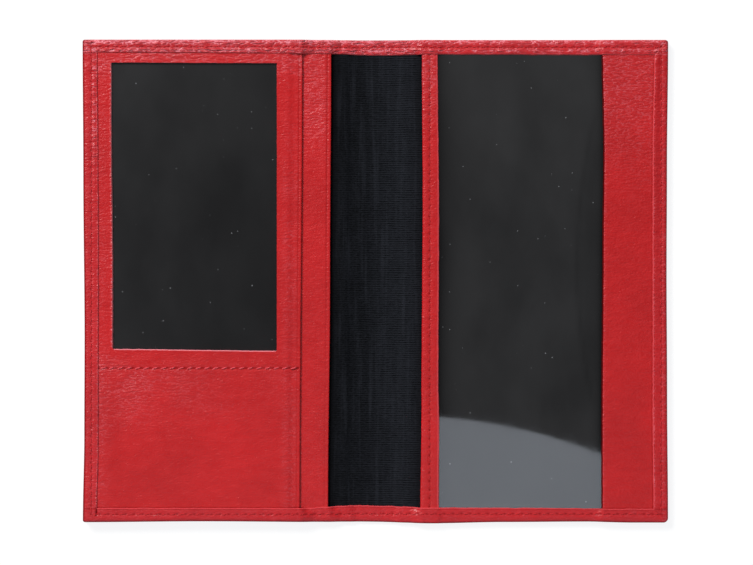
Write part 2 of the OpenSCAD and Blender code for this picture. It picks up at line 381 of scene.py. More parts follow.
def leather(name, colour, grain=1.0):
    """Smooth grained leather with a satin finish and fine creases along X, paled towards pink by
    wear and painted highlights and darkened towards deep red by painted shade.
    """
    made, tree = new_material(name)
    cells = {"Vector": rest_place(tree, (0.8, 1.25, 1.0)), "Scale": 1.25}
    pebble = node(tree, "TexVoronoi", cells, feature="SMOOTH_F1").outputs["Distance"]
    fine = noise_node(tree, 2.0, 1.0)
    wavy = noise_node(tree, 0.62, 1.5, (0.42, 1.35, 1.0))
    crease = math_node(tree, "ABSOLUTE", math_node(tree, "SUBTRACT", wavy, 0.5))
    cloud = noise_node(tree, 0.05, 2.0)
    patch = noise_node(tree, 0.35, 3.0, (0.7, 1.2, 1.0))
    shade, wear_and_highlight = stored(tree, "shade"), stored(tree, "wear_and_highlight")

    tone = math_node(tree, "MULTIPLY_ADD", cloud, 0.6, math_node(tree, "MULTIPLY", patch, 0.4))
    tone = remap(tree, tone, 0.36, 0.64, 0.0, 1.0)
    body = mix_colour(tree, tone, toned(colour, 0.9), toned(colour, 1.06))
    paling = math_node(tree, "MULTIPLY_ADD", remap(tree, crease, 0.0, 0.045, 1.0, 0.0), 0.42, 0.08)
    speckled = math_node(tree, "MULTIPLY", paling, remap(tree, fine, 0.35, 0.6, 0.3, 1.4))
    # Wear and painted highlight: the stored values pale the crease crests towards pink
    wear_and_highlight_share = math_node(tree, "MULTIPLY", wear_and_highlight, speckled, clamp=True)
    body = mix_colour(tree, wear_and_highlight_share, body, WEAR_AND_HIGHLIGHT_PINK)
    # Painted shade: the shade values darken holes, creases, gaps and folds turned from the light
    body = mix_colour(tree, shade, body, PAINTED_SHADE_RED)

    height = math_node(tree, "MULTIPLY", fine, 0.5)
    height = math_node(tree, "MULTIPLY_ADD", pebble, 0.6 * grain, height)
    amount = math_node(tree, "MULTIPLY_ADD", wear_and_highlight, 3.2, 0.9)
    height = math_node(tree, "MULTIPLY_ADD", crease, amount, height)
    rough = math_node(tree, "MULTIPLY_ADD", shade, 0.3, remap(tree, patch, 0.3, 0.7, 0.32, 0.4))
    gloss = remap(tree, shade, 0.0, 0.6, 0.38, 0.03)
    surface(tree, body, rough, height, 0.00019, gloss=gloss)
    return made


def cut_edge(name, colour):
    """The fibrous cut edge of the leather, paler than its face."""
    made, tree = new_material(name)
    fibre = noise_node(tree, 2.4, 3.0, (1, 1, 2.5))
    share = remap(tree, fibre, 0.35, 0.65, 0.0, 1.0)
    pale = toned(colour, 1.25, 0.02)
    surface(tree, mix_colour(tree, share, colour, pale), 0.8, fibre, 0.00012, 0.8)
    return made


def ribbed_cloth(name, pitch, dark, light, paling=0.0):
    """Thin black cloth with fine ribs along X, paler to the right by what paling says: painted
    light, its left lying in the pocket's shade.
    """
    made, tree = new_material(name)
    x, y, _ = node(tree, "SeparateXYZ", {0: stored(tree, "rest", "Vector")}).outputs
    sway = math_node(tree, "MULTIPLY", noise_node(tree, 0.12, 2.0), 0.7)
    across = math_node(tree, "ADD", y, sway)
    rib = math_node(tree, "SINE", math_node(tree, "MULTIPLY", across, 2 * math.pi / pitch))
    along = math_node(tree, "SINE", math_node(tree, "MULTIPLY", x, 2 * math.pi / WARP_PITCH))
    # Painted light: fainter ribs to the left and a paler tone to the right, by paling
    plain = remap(tree, x, -9.0, 5.0, 1.0 - 2.0 * paling, 1.0)
    broken = remap(tree, noise_node(tree, 0.9, 2.0, (0.5, 1.0, 1.0)), 0.35, 0.62, 0.15, 1.0)
    plain = math_node(tree, "MULTIPLY", plain, broken)
    weave = math_node(tree, "MULTIPLY", math_node(tree, "MULTIPLY_ADD", along, 0.25, rib), plain)
    streak = noise_node(tree, 0.55, 2.0, (1.5, 0.07, 1.0))
    cloud = noise_node(tree, 0.09, 3.0)
    speck = noise_node(tree, 2.6, 2.0, (0.5, 1.4, 1.0))
    tone = remap(tree, weave, -1.2, 1.2, -0.35, 0.75)
    tone = math_node(tree, "ADD", speck, tone)
    tone = math_node(tree, "MULTIPLY_ADD", cloud, 0.4, math_node(tree, "SUBTRACT", tone, 0.66))
    tone = math_node(tree, "ADD", tone, remap(tree, x, -5.0, 6.0, 0.0, paling))
    streaks = remap(tree, streak, 0.5, 0.75, 0.0, 1.2 * paling)
    body = mix_colour(tree, math_node(tree, "ADD", tone, streaks, clamp=True), dark, light)
    # Painted shade from the shade values
    body = mix_colour(tree, stored(tree, "shade"), body, rgb(0, 0, 2))
    surface(tree, body, 0.8, weave, 0.00012, 0.7, gloss=0.08)
    return made


def clear_film(name, tone):
    """Clear soft film: glossy, with a smoky haze, fine dust and a few scuffed patches."""
    made, tree = new_material(name)
    cells = {"Vector": rest_place(tree, (1, 1, 0)), "Scale": 0.42}
    cell = node(tree, "TexVoronoi", cells, feature="F1")
    pick = node(tree, "SeparateXYZ", {0: cell.outputs["Color"]}).outputs[0]
    size = remap(tree, pick, 0.6, 1.0, 0.0, 0.085)
    dust = math_node(tree, "LESS_THAN", cell.outputs["Distance"], size)
    dust = math_node(tree, "MULTIPLY", dust, 0.55)
    cloud = remap(tree, noise_node(tree, 0.05, 3.0, (1, 0.6, 1)), 0.35, 0.65, 0, 1)
    deep, light = rgb(tone - 4, tone - 4, tone - 3), rgb(tone + 4, tone + 4, tone + 5)
    haze = mix_colour(tree, cloud, deep, light)
    # Painted shade and shadow from the shade values, towards near black
    haze = mix_colour(tree, stored(tree, "shade"), haze, rgb(16, 16, 17))
    haze = mix_colour(tree, dust, haze, rgb(170, 172, 176))
    rough = remap(tree, noise_node(tree, 0.2, 4.0), 0.3, 0.7, 0.018, 0.03)
    gloss = node(tree, "BsdfPrincipled", {"Base Color": haze, "Roughness": rough})
    clear = node(tree, "BsdfTransparent")
    cover = math_node(tree, "MULTIPLY_ADD", dust, 0.8, FILM_OPACITY, clamp=True)
    output(tree, node(tree, "MixShader", {0: cover, 1: clear.outputs[0], 2: gloss.outputs[0]}))
    return made


def sewing_thread(name, colour):
    """Twisted polyester thread."""
    made, tree = new_material(name)
    ply = math_node(tree, "SINE", stored(tree, "twist"))
    body = mix_colour(tree, remap(tree, ply, -1.0, 0.2, 0.0, 1.0), toned(colour, 0.7), colour)
    height = math_node(tree, "MULTIPLY_ADD", noise_node(tree, 4.0, 2.0), 0.4, ply)
    surface(tree, body, 0.6, height, 0.00006, 0.6, gloss=0.2)
    return made


def grey_board(name):
    """Pressed grey card with darker fibres."""
    made, tree = new_material(name)
    place = node(tree, "TexCoord").outputs["Object"]
    fibre = node(tree, "TexNoise", {"Vector": place, "Scale": 900.0}).outputs[0]
    surface(tree, mix_colour(tree, fibre, rgb(128, 124, 118), rgb(176, 172, 164)), 0.9)
    return made


RED = leather("red_leather", rgb(202, 23, 30))
POCKET_RED = leather("pocket_leather", rgb(201, 20, 24), grain=0.8)
PALE_EDGE = cut_edge("cut_leather", rgb(230, 120, 130))
RED_EDGE = cut_edge("dyed_leather_edge", rgb(200, 46, 54))
LINING = ribbed_cloth("ribbed_lining", 0.78, rgb(1, 2, 4), rgb(35, 37, 43), 0.34)
POCKET_CLOTH = ribbed_cloth("pocket_cloth", 0.5, rgb(18, 18, 18), rgb(33, 32, 31))
WINDOW_FILM = clear_film("window_film", 44)
FILM = clear_film("clear_film", 49)
THREAD = sewing_thread("red_thread", rgb(208, 40, 46))
PALE_THREAD = sewing_thread("pale_red_thread", rgb(238, 84, 94))
BOARD = grey_board("grey_board")


# Meshes


def add_piece(name, points, faces, materials, values, kinds=None, sharp=40):
    """Makes a closed mesh piece from points in millimetres. kinds says each face's material."""
    mesh = bpy.data.meshes.new(name)
    mesh.from_pydata((np.asarray(points) * MM).tolist(), [], [list(map(int, f)) for f in faces])
    for material in materials:
        mesh.materials.append(material)
    if kinds is not None:
        mesh.polygons.foreach_set("material_index", np.asarray(kinds, np.int32))
    for key, value in values.items():
        kept = mesh.attributes.new(key, "FLOAT", "POINT")
        kept.data.foreach_set("value", np.asarray(value, np.float32))
    shaped = bmesh.new()
    shaped.from_mesh(mesh)
    bmesh.ops.remove_doubles(shaped, verts=shaped.verts, dist=1e-6)
    bmesh.ops.recalc_face_normals(shaped, faces=shaped.faces)
    shaped.to_mesh(mesh)
    shaped.free()
    mesh.shade_smooth()
    mesh.set_sharp_from_angle(angle=math.radians(sharp))
    places = np.zeros(len(mesh.vertices) * 3, np.float32)
    mesh.vertices.foreach_get("co", places)
    rest = mesh.attributes.new("rest", "FLOAT_VECTOR", "POINT")
    rest.data.foreach_set("vector", places / MM)
    made = bpy.data.objects.new(name, mesh)
    bpy.context.scene.collection.objects.link(made)
    return made


def slab(name, top, bottom, materials, shade, wear_and_highlight=None, keep=None):
    """A closed sheet between two grids of points. keep says which of its cells are there."""
    n, m = top.shape[:2]
    if keep is None:
        keep = np.ones((n - 1, m - 1), bool)
    index = np.arange(n * m).reshape(n, m)
    quads = np.stack([index[:-1, :-1], index[1:, :-1], index[1:, 1:], index[:-1, 1:]], -1)
    upper = quads[keep]
    lower = upper[:, ::-1] + n * m
    padded = np.pad(keep, 1)
    walls = []
    for di, dj, a, b in ((0, -1, 0, 1), (1, 0, 1, 2), (0, 1, 2, 3), (-1, 0, 3, 0)):
        open_side = keep & ~padded[1 + di:n + di, 1 + dj:m + dj]
        edge = quads[open_side]
        start, end = edge[:, a], edge[:, b]
        walls.append(np.stack([end, start, start + n * m, end + n * m], -1))
    faces = np.vstack([upper, lower, *walls])
    used, faces = np.unique(faces, return_inverse=True)
    faces = faces.reshape(-1, 4)
    points = np.vstack([top.reshape(-1, 3), bottom.reshape(-1, 3)])[used]
    kinds = np.zeros(len(faces), int)
    kinds[len(upper) + len(lower):] = len(materials) - 1
    values = {"shade": shade} if wear_and_highlight is None else {"shade": shade, "wear_and_highlight": wear_and_highlight}
    values = {key: np.tile(value.ravel(), 2)[used] for key, value in values.items()}
    return add_piece(name, points, faces, materials, values, kinds)


def lay_sheet(made, nodes, body=None, area=None):
    """Hides the CAD parts that a sheet stands for and hangs it on the body it rides on; its area is
    not used.
    """
    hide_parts(*nodes)
    if body:
        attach(made, body)
    if area:
        area = area * MM * MM


def grid(xs, ys):
    """X and Y of every crossing of the grid lines."""
    return np.meshgrid(xs, ys, indexing="ij")


def stacked(x, y, z):
    """Points from arrays of coordinates."""
    return np.stack(np.broadcast_arrays(x, y, z), -1)


def leather_relief(x, y, seed):
    """The uneven lie of soft leather: broad swells, small dents and fine folds along X."""
    swell, dents, folds = (0.05, 26, 30, seed), (0.028, 7, 5, seed + 1), (0.02, 4.5, 1.3, seed + 2)
    return layered(x, y, swell, dents, folds)


# The outer leather and its turned edges


def side_line(side):
    """The outline's line and the turned edge's inner line down one side."""
    return (LEFT_SIDE, LEFT_INNER) if side < 0 else (RIGHT_SIDE, RIGHT_INNER)


def corner_arc(side, end):
    """Points round an outer corner, from the end edge to the side edge."""
    radius = CORNER_RADIUS[(side, end)]
    turn = np.linspace(0, math.pi / 2, 9)
    x = side * (HALF_W - radius + radius * np.sin(turn))
    y = end * (HALF_H - radius + radius * np.cos(turn))
    return np.stack([x, y], -1)


def rim_columns(side):
    """Places along the top and down the side, with the same number to each stitch."""
    top, flank, _ = EDGE_SEAMS[side]
    across = np.linspace(0, SEAM_SIDE[side], top.count * PER_STITCH + 1)
    down = np.linspace(SEAM_TOP, SEAM_BOTTOM, flank.count * PER_STITCH + 1)
    return across, down


def outline(side):
    """Points round half of the cover from the spine and back to it, and where each run starts."""
    across, down = rim_columns(side)
    upper = np.stack([across, np.full_like(across, HALF_H)], -1)
    edge = np.stack([np.full_like(down, side * HALF_W), down], -1)
    lower = np.stack([across[::-1], np.full_like(across, -HALF_H)], -1)
    runs = [upper, corner_arc(side, 1), edge, corner_arc(side, -1)[::-1], lower]
    parts = np.cumsum([0] + [len(run) for run in runs])
    x, y = np.vstack(runs).T
    x = x + (eased(y, side_line(side)[0]) - side * HALF_W) * smooth((np.abs(x) - 92) / 8)
    y = y + (eased(x, BOTTOM_SIDE) + HALF_H) * smooth((-y - 74) / 8)
    return np.stack([x, y], -1), parts


def inner_line(side, points):
    """The point on the turned edge's inner line that each outer point faces."""
    out_x, out_y = points.T
    side_inner = side_line(side)[1]
    reach = np.abs(eased(out_y, side_inner))
    beyond = np.abs(out_x) > reach
    x = side * np.minimum(np.abs(out_x), reach)
    high, low = eased(side * reach, TOP_INNER), eased(side * reach, BOTTOM_INNER)
    on_side = (out_y < high) & (out_y > low) & beyond
    y = np.where(out_y > 0, eased(x, TOP_INNER), eased(x, BOTTOM_INNER))
    y = np.where(on_side, out_y, y)
    x = np.where(beyond, eased(y, side_inner), x)
    ripple = layered(x, y, (0.07, 3.1, 3.1, 50), (0.05, 1.2, 1.2, 51))
    ripple = np.where(beyond & ~on_side, 0, ripple)
    toward_x = np.where(on_side, side, 0)
    toward_y = np.where(on_side, 0, np.sign(out_y))
    return np.stack([x + toward_x * ripple, y + toward_y * ripple], -1)


def seam_pull(side, x, y):
    """How far the edge seam draws the leather down, and how much shade is painted in its holes."""
    pull = np.zeros_like(x)
    dark = np.zeros_like(x)
    for seam in EDGE_SEAMS[side]:
        pull = np.maximum(pull, seam.pull(x, y))
        dark = np.maximum(dark, 0.6 * seam.dark(x, y))
    on_slope = bump(x - BINDING_LOW[0] + 1, 2.2)
    return pull * (1 - 0.75 * on_slope), dark


def turned_relief(side, x, y):
    """Wrinkles and ridges on top of the turned edge."""
    rim = np.minimum(HALF_W - np.abs(x), HALF_H - np.abs(y))
    at_top, at_bottom = smooth((y - 70) / 6), smooth((-y - 70) / 6)
    at_side = smooth((np.abs(x) - 94) / 3) * (1 - smooth((np.abs(y) - 79) / 2))
    gathers = layered(x, y, (0.6, 1.15, 3, 60), (0.7, 2.6, 2, 61))
    close = noise(x, y, 0.7, 2.4, 69) * bump(x / 13, 1)
    wrinkles = at_top * (gathers * (0.07 + 0.05 * noise(x, y, 16, 50, 62)) + 0.05 * close)
    wrinkles += at_bottom * gathers * 0.02
    ribs = layered(x, y, (0.6, 6, 1.5, 63), (0.6, 5, 3.1, 64))
    wrinkles += at_side * ribs * (0.05 if side < 0 else 0.035)
    ridges = sum(height * bump(x - place, 0.8) for place, height in LAYER_RIDGES)
    crown = 0.03 * bump(rim - 1.75, 0.6) - 0.12 * (1 - smooth((rim - 0.1) / 1.4))
    puckers = 0
    for seam in EDGE_SEAMS[side]:
        puckers = np.maximum(puckers, seam.pucker(x, y, -side))
    varied = np.clip(0.6 + 0.9 * noise(x, y, 4.5, 4.5, 66), 0.1, 1.4)
    by_side = 0.05 + 0.09 * at_top + 0.07 * at_side * (side < 0) * smooth((y - 15) / 30)
    lie = 0.03 * noise(x, y, 4, 4, 65)
    return wrinkles + ridges * (at_top + at_bottom) + crown + puckers * varied * by_side + lie


def rim_wear_and_highlight(side, points):
    """How pale the turned edge is from wear and painted highlights: most along the top, and least
    down the right side.
    """
    x, y, z = points.T
    top_seam, flank_seam, _ = EDGE_SEAMS[side]
    below_top = stack_top(x) + TURN_T - z
    on_top = smooth((1.5 - below_top) / 0.9)
    in_from_top = HALF_H - y
    between = np.sin(math.pi * top_seam.read(x, y)[0] / STITCH) ** 2
    # Painted highlight on the puckers inside the top seam, along the top cut and over the rolled
    # outer band, on top of wear
    lumps = bump(in_from_top - 3.7, 0.55) * (1.4 + 2.8 * between) * (1 + uneven(x, 0.9, 3.7, 67))
    cut_line = 1.5 * bump(y - eased(x, TOP_INNER) - 0.1, 0.3)
    band = 4.2 * bump(in_from_top - 0.6, 0.85) * (1 + 0.4 * noise(x, y, 4, 2, 68))
    # Painted light: the top is paler towards the left
    left_part = 1 - 0.45 * smooth((x - 8) / 8)
    top = 0.55 + band + lumps + cut_line + 0.6 * bump(x / 13, 1)
    top = smooth((y - 78) / 1) * top * left_part
    low = smooth((-y - 78) / 2) * 0.15
    if side > 0:
        flank = smooth((x - 96) / 1) * (0.1 + 0.4 * bump(HALF_W - x - 1.2, 0.9))
    else:
        between = np.sin(math.pi * flank_seam.read(x, y)[0] / STITCH) ** 2
        # Painted highlight on the puckers beside the left seam, in its upper part
        lumps = 2.6 * bump(x - SEAM_SIDE[side] - 1.05, 0.5) * between * smooth((y - 34) / 16)
        flank = smooth((-x - 96) / 1) * (0.22 + lumps)
    wear_and_highlight = np.clip(np.maximum(np.maximum(top, low), flank), 0, 4)
    # Painted highlight along the inner cut edge where it faces the light, brightest down the right
    # side
    from_edge = (x - eased(y, side_line(side)[1])) * side
    inner_edge = bump(from_edge - 0.1, 0.26) * (np.abs(y) < 79) * (from_edge > -0.3)
    return on_top * (wear_and_highlight + (2.8 if side > 0 else 2.2) * inner_edge)


def rim_painted_shade(side, x, y):
    """How much shade is painted on the turned edge: at its fold, which turns from the light, beside
    the bottom cut, and beside the inner edge down the right side.
    """
    from_side = np.abs(eased(y, side_line(side)[0]) - x)
    at_side_fold = 0.8 * bump(from_side - 0.2, 0.42) if side < 0 else 0.45 * bump(from_side, 0.3)
    at_low_fold = 0.55 * bump(y - eased(x, BOTTOM_SIDE), 0.42)
    at_low_cut = 0.4 * bump(eased(x, BOTTOM_INNER) - y - 0.2, 0.34)
    painted_dark = np.maximum(np.maximum(at_side_fold, at_low_fold), at_low_cut)
    if side > 0:
        upper = 0.35 + 0.65 * smooth((y + 20) / 60)
        beside = 0.28 * bump(x - eased(y, RIGHT_INNER) - 1.6, 0.9) * upper
        painted_dark = np.maximum(painted_dark, beside * (np.abs(y) < 80))
    return painted_dark


def pleats(side, x, y):
    """The folds that take up the leather in the two corners: height, and the shade painted in their
    grooves.
    """
    height = np.zeros_like(x)
    dark = np.zeros_like(x)
    for end in (1, -1):
        reach = abs(eased(end * HALF_H, side_line(side)[1]))
        inner_y = eased(side * reach, TOP_INNER if end > 0 else BOTTOM_INNER)
        inner = np.array([side * reach, inner_y])
        if (side, end) == (-1, -1):
            outer = np.array([inner[0] - 0.3, inner[1] - 2.8])
        else:
            outer = np.array([side * (HALF_W - 0.4), end * (HALF_H - 0.4)])
        run = outer - inner
        length = np.linalg.norm(run)
        run = run / length
        dx, dy = x - inner[0], y - inner[1]
        t = dx * run[0] + dy * run[1]
        across = dx * run[1] - dy * run[0]
        on_fold = smooth((t + 0.4) / 0.6) * smooth((length + 0.4 - t) / 0.8)
        overlap = (side, end) == (-1, -1)
        groove = bump(across, 0.34 if overlap else 0.22) * on_fold
        lump = bump(across - 0.6 * side * end, 0.55) * on_fold
        height += 0.04 * lump - (0.24 if overlap else 0.1) * groove
        dark = np.maximum(dark, (0.8 if overlap else 0.2) * groove)
    return height, dark


def pared(side, x, y):
    """How much the turned edge thins towards its cut, along the top and down the left side."""
    down_left = (side < 0) * smooth((np.abs(x) - 94) / 1.5) * smooth((y + 79) / 4)
    return 0.15 * np.maximum(smooth((y - 76) / 1.5), 0.6 * down_left)


def back_span(side):
    """The flat middle of the back: its last column across, and its first and last down the side."""
    top, flank, _ = EDGE_SEAMS[side]
    return (top.count - 2) * PER_STITCH, 2 * PER_STITCH, (flank.count - 2) * PER_STITCH


def back_edge(side, parts):
    """The point on the edge of the back's flat middle that each column of the rim comes from."""
    across, down = rim_columns(side)
    far, near_top, near_bottom = back_span(side)
    x = np.full(parts[-1], across[far])
    y = np.full(parts[-1], down[near_bottom])
    run = np.minimum(np.arange(len(across)), far)
    x[:parts[1]] = across[run]
    x[parts[4]:] = across[run[::-1]]
    y[:parts[2]] = down[near_top]
    y[parts[2]:parts[3]] = down[np.clip(np.arange(len(down)), near_top, near_bottom)]
    return np.stack([x, y], -1)


def back_lie(side, x, y):
    """Height and painted shade of the back's outer face."""
    pull, dark = seam_pull(side, x, y)
    return 0.05 * (1 + noise(x, y, 21, 23, 70)) + 0.7 * pull, 0.8 * dark


def seam_places(side, outer, parts, hem):
    """Where the seam lies on each column, as a share of the turned edge's width."""
    share = np.full(len(outer), 0.56)
    share[:parts[1]] = ((HALF_H - SEAM_TOP) / hem)[:parts[1]]
    share[parts[4]:] = ((HALF_H + SEAM_BOTTOM) / hem)[parts[4]:]
    flank = slice(parts[2], parts[3])
    share[flank] = np.abs(outer[flank, 0] - SEAM_SIDE[side]) / hem[flank]
    return np.clip(share, 0.35, 0.7)


def rim_rows(side, outer, parts):
    """Rows of points round the rim, from the flat of the back over the fold and back inside.

    Each row has its points, how dark they are, and 1 where the faces before it are the cut.
    """
    inner, flat = inner_line(side, outer), back_edge(side, parts)
    hem = np.linalg.norm(inner - outer, axis=1)
    reach = np.linalg.norm(flat - outer, axis=1)
    inward = (inner - outer) / hem[:, None]
    flat_way = (flat - outer) / reach[:, None]
    height = stack_top(outer[:, 0]) + TURN_T
    radius = np.minimum(FOLD_RADIUS, 0.48 * height)
    rows = []

    def at(distance, way=inward):
        """Places this far in from the outline."""
        return outer + way * np.broadcast_to(distance, hem.shape)[:, None]

    def add(plan, z, dark=0.0, cut=0):
        z, dark = (np.broadcast_to(value, hem.shape) for value in (z, dark))
        rows.append((np.column_stack([plan, z]), dark, cut))

    # Under the rim, from the flat of the back outwards
    for share in (1.0, 0.78, 0.62, 0.52, 0.45, 0.4, 0.36, 0.32, 0.27, 0.2):
        plan = at(reach * share, flat_way)
        add(plan, *back_lie(side, *plan.T))
    # Round the outer fold
    for turn in np.radians([-60, -30, 0]):
        add(at(radius * (1 - np.cos(turn))), radius * (1 + np.sin(turn)) + 0.03)
    sag = 0.05 * noise(outer[:, 0], outer[:, 1], 9, 9, 72)
    add(at(0.02 - sag), height / 2)
    for turn in np.radians([0, 30, 60]):
        plan = at(radius * (1 - np.cos(turn)))
        fold, dark = pleats(side, *plan.T)
        lift = (turned_relief(side, *plan.T) + fold) * math.sin(turn)
        z = height - radius * (1 - np.sin(turn)) + lift
        add(plan, z, np.maximum(dark, rim_painted_shade(side, *plan.T)))
    # Over the top to the cut edge, closer together beside the seam
    seam = seam_places(side, outer, parts, hem)
    start = radius / hem
    shares = [start, (start + seam) / 2 - 0.05]
    shares += [seam + d / hem for d in (-0.6, -0.36, -0.16, 0.04, 0.24, 0.46, 0.8)]
    shares += [seam + (1 - seam) * s for s in (0.5, 0.72, 0.88)] + [1 - 0.34 / hem]
    for share in shares:
        plan = at(hem * share)
        pull, dark = seam_pull(side, *plan.T)
        fold, fold_dark = pleats(side, *plan.T)
        to_cut = smooth((share - 0.5) / 0.5)
        top = stack_top(plan[:, 0]) * (1 - to_cut)
        top = top + stack_top(plan[:, 0], INNER_STEP_RUN) * to_cut + TURN_T
        drop = 0.05 * smooth((share - 0.8) / 0.2)
        drop = drop + pared(side, *plan.T) * smooth((share - 0.7) / 0.25)
        z = top + turned_relief(side, *plan.T) - pull + fold - drop
        add(plan, z, np.maximum(np.maximum(dark, fold_dark), rim_painted_shade(side, *plan.T)))
    under = stack_top(inner[:, 0], INNER_STEP_RUN)
    thick = TURN_T - 0.16 + turned_relief(side, *inner.T) - 1.6 * pared(side, *inner.T)
    add(at(hem - 0.12), under + np.maximum(thick, 0.12), cut=1)
    add(inner, under + 0.02, cut=1)
    # Back underneath to the wall, and down to the inside of the back
    add(at(hem * 0.6), under)
    add(at(WALL), stack_top(outer[:, 0]))
    add(at(WALL), LEATHER_T)
    add(at(reach * 0.5, flat_way), LEATHER_T)
    add(flat, LEATHER_T)
    return rows


def back_middle(side, index, parts):
    """The flat middle of the back on both faces, and the cut at the spine's middle.

    index numbers the rim's points. Returns the faces and the points that the rim doesn't have.
    """
    across, down = rim_columns(side)
    far, near_top, near_bottom = back_span(side)
    columns = index.shape[1]
    kept_x = [k for k in range(far + 1) if k % PER_STITCH == 0 or (k <= 24 and k % 2 == 0)]
    kept_y = range(near_top, near_bottom + 1, PER_STITCH)
    faces, extra, points = [], {}, []

    def corner(k, r, row):
        """The point at column k and place r down the side, on the outer or the inner face."""
        if r == near_top:
            return index[row, k]
        if r == near_bottom:
            return index[row, columns - 1 - k]
        if k == far:
            return index[row, parts[2] + r]
        if (k, r, row) not in extra:
            extra[(k, r, row)] = index.size + len(points)
            x, y = across[k:k + 1], down[r:r + 1]
            z = LEATHER_T if row else back_lie(side, x, y)[0][0]
            points.append((x[0], y[0], z))
        return extra[(k, r, row)]

    for row in (0, -1):
        for k0, k1 in zip(kept_x, kept_x[1:]):
            for r0, r1 in zip(kept_y, kept_y[1:]):
                ring = [corner(k0, r0, row)]
                if r0 == near_top:
                    ring += [index[row, k] for k in range(k0 + 1, k1)]
                ring.append(corner(k1, r0, row))
                if k1 == far:
                    ring += [index[row, parts[2] + r] for r in range(r0 + 1, r1)]
                ring.append(corner(k1, r1, row))
                if r1 == near_bottom:
                    ring += [index[row, columns - 1 - k] for k in range(k1 - 1, k0, -1)]
                ring.append(corner(k0, r1, row))
                faces.append(tuple(ring))
    for r0, r1 in zip(kept_y, kept_y[1:]):
        faces.append((corner(0, r0, 0), corner(0, r1, 0), corner(0, r1, -1), corner(0, r0, -1)))
    return faces + [tuple(index[:, 0]), tuple(index[:, -1])], points


def outer_leather(side):
    """One half of the outer leather, from the spine's middle round its three turned edges."""
    outer, parts = outline(side)
    rows = rim_rows(side, outer, parts)
    points = np.array([row[0] for row in rows])
    dark = np.array([row[1] for row in rows])
    index = np.arange(dark.size).reshape(dark.shape)
    quads = np.stack([index[:-1, :-1], index[:-1, 1:], index[1:, 1:], index[1:, :-1]], -1)
    faces = [tuple(q) for q in quads.reshape(-1, 4)]
    kinds = [cut for _, _, cut in rows[1:] for _ in range(len(outer) - 1)]
    more_faces, more_points = back_middle(side, index, parts)
    kinds += [0] * len(more_faces)
    points = np.vstack([points.reshape(-1, 3), more_points])
    values = {
        "shade": np.concatenate([dark.ravel(), np.zeros(len(more_points))]),
        "wear_and_highlight": rim_wear_and_highlight(side, points),
    }
    made = add_piece(f"outer_leather_{SIDE_WORD[side]}", points, faces + more_faces,
                     [RED, RED_EDGE], values, kinds, 50)

    turned = HALF_W - abs(eased(0, side_line(side)[1]))
    turned_ends = (HALF_H - eased(0, TOP_INNER)) + 3.0
    nodes = ["left_cover_leather"] if side < 0 else ["right_cover_leather", "spine_leather"]
    bend_at_spine(made, side)
    lay_sheet(made, nodes)


def bend_at_spine(piece, side):
    """Bakes a piece's place into its mesh, the same on either side of the spine."""
    if side < 0:
        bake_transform(piece)
    else:
        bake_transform(piece)


# The layers inside


def hem_shadow(side, x, y):
    """The dark line on a layer along the lower and the right inner edge of the turned leather."""
    flank = (x - eased(y, side_line(side)[1])) * -side
    low = y - eased(x, BOTTOM_INNER)
    near = np.minimum(low, flank) if side > 0 else low
    return 0.45 * bump(near - 0.15, 0.22) * (flank > -1) * (low > -1)


def cover_lining(side):
    """One half of the ribbed lining, which comes down from the card to the leather at the spine."""
    reach = [HELD_X, 70, 45, 28, 20, 17.4]
    xs = np.array(sorted([side * r for r in reach] + list(side * np.arange(0, 16.9, 0.6))))
    ys = lines(-HELD_Y, HELD_Y, 1.6)
    x, y = grid(xs, ys)
    rise = smooth((np.abs(x) + LINING_STEP) / LINING_RUN)
    low = LEATHER_T + (CARD_HIGH[2] - LEATHER_T) * rise
    open_part = 1 - smooth((np.abs(x) - 12) / 3)
    within = 1 - smooth((np.abs(y) - 70) / 8)
    wave = layered(x, y, (0.05, 3.2, 34, 80), (0.02, 1.6, 22, 81))
    folds = sum(height * bump(x - place, width) for place, height, width in SPINE_FOLDS)
    lift = (0.06 + wave + folds * (0.7 + 0.4 * noise(x, y, 9, 24, 82))) * open_part * within
    at_middle = 0.06 + 0.07 * bump(0.6, 0.7) * 0.7
    lift = np.maximum(np.where(x == 0, at_middle * within, lift), 0)
    top = stacked(x, y, low + LINING_HIGH[2] - CARD_HIGH[2] + lift)
    bottom = stacked(x, y, low + lift * 0.6)
    # Painted shade on the lining beside the facing's mouth and beside the binding, which shadow it
    beside_facing = 0.85 * bump(x - eased(y, FACING_MOUTH), 2.4)
    beside_binding = 0.45 * bump(x - eased(y, BINDING_LEFT), 2.2)
    word = SIDE_WORD[side]
    made = slab(f"lining_{word}", top, bottom, [LINING],
                np.maximum(beside_facing, beside_binding))
    bend_at_spine(made, side)
    nodes = ["left_lining"] if side < 0 else ["right_lining", "spine_lining"]
    lay_sheet(made, nodes)


def pocket_cloth():
    """The black cloth behind the window, from the left edge to the rear pocket's mouth."""
    xs = lines(-HELD_X, FACING_HIGH[0] - 0.3, 2.4)
    ys = lines(-HELD_Y, HELD_Y, 2.4)
    x, y = grid(xs, ys)
    wave = np.minimum(layered(x, y, (0.05, 17, 21, 90), (0.02, 5, 7, 91)), 0)
    top = stacked(x, y, FABRIC_HIGH[2] + wave)
    bottom = stacked(x, y, FABRIC_LOW[2] + wave)
    made = slab("rear_pocket_cloth", top, bottom, [POCKET_CLOTH], np.zeros_like(x))
    lay_sheet(made, ["rear_pocket_fabric"],
              "left_cover")


def rolled_edge(inside, radius):
    """How far a sheet's top comes down towards a rounded edge, at a distance inside it."""
    d = np.clip(inside, 0, radius)
    return radius - np.sqrt(np.maximum(radius ** 2 - (radius - d) ** 2, 0))


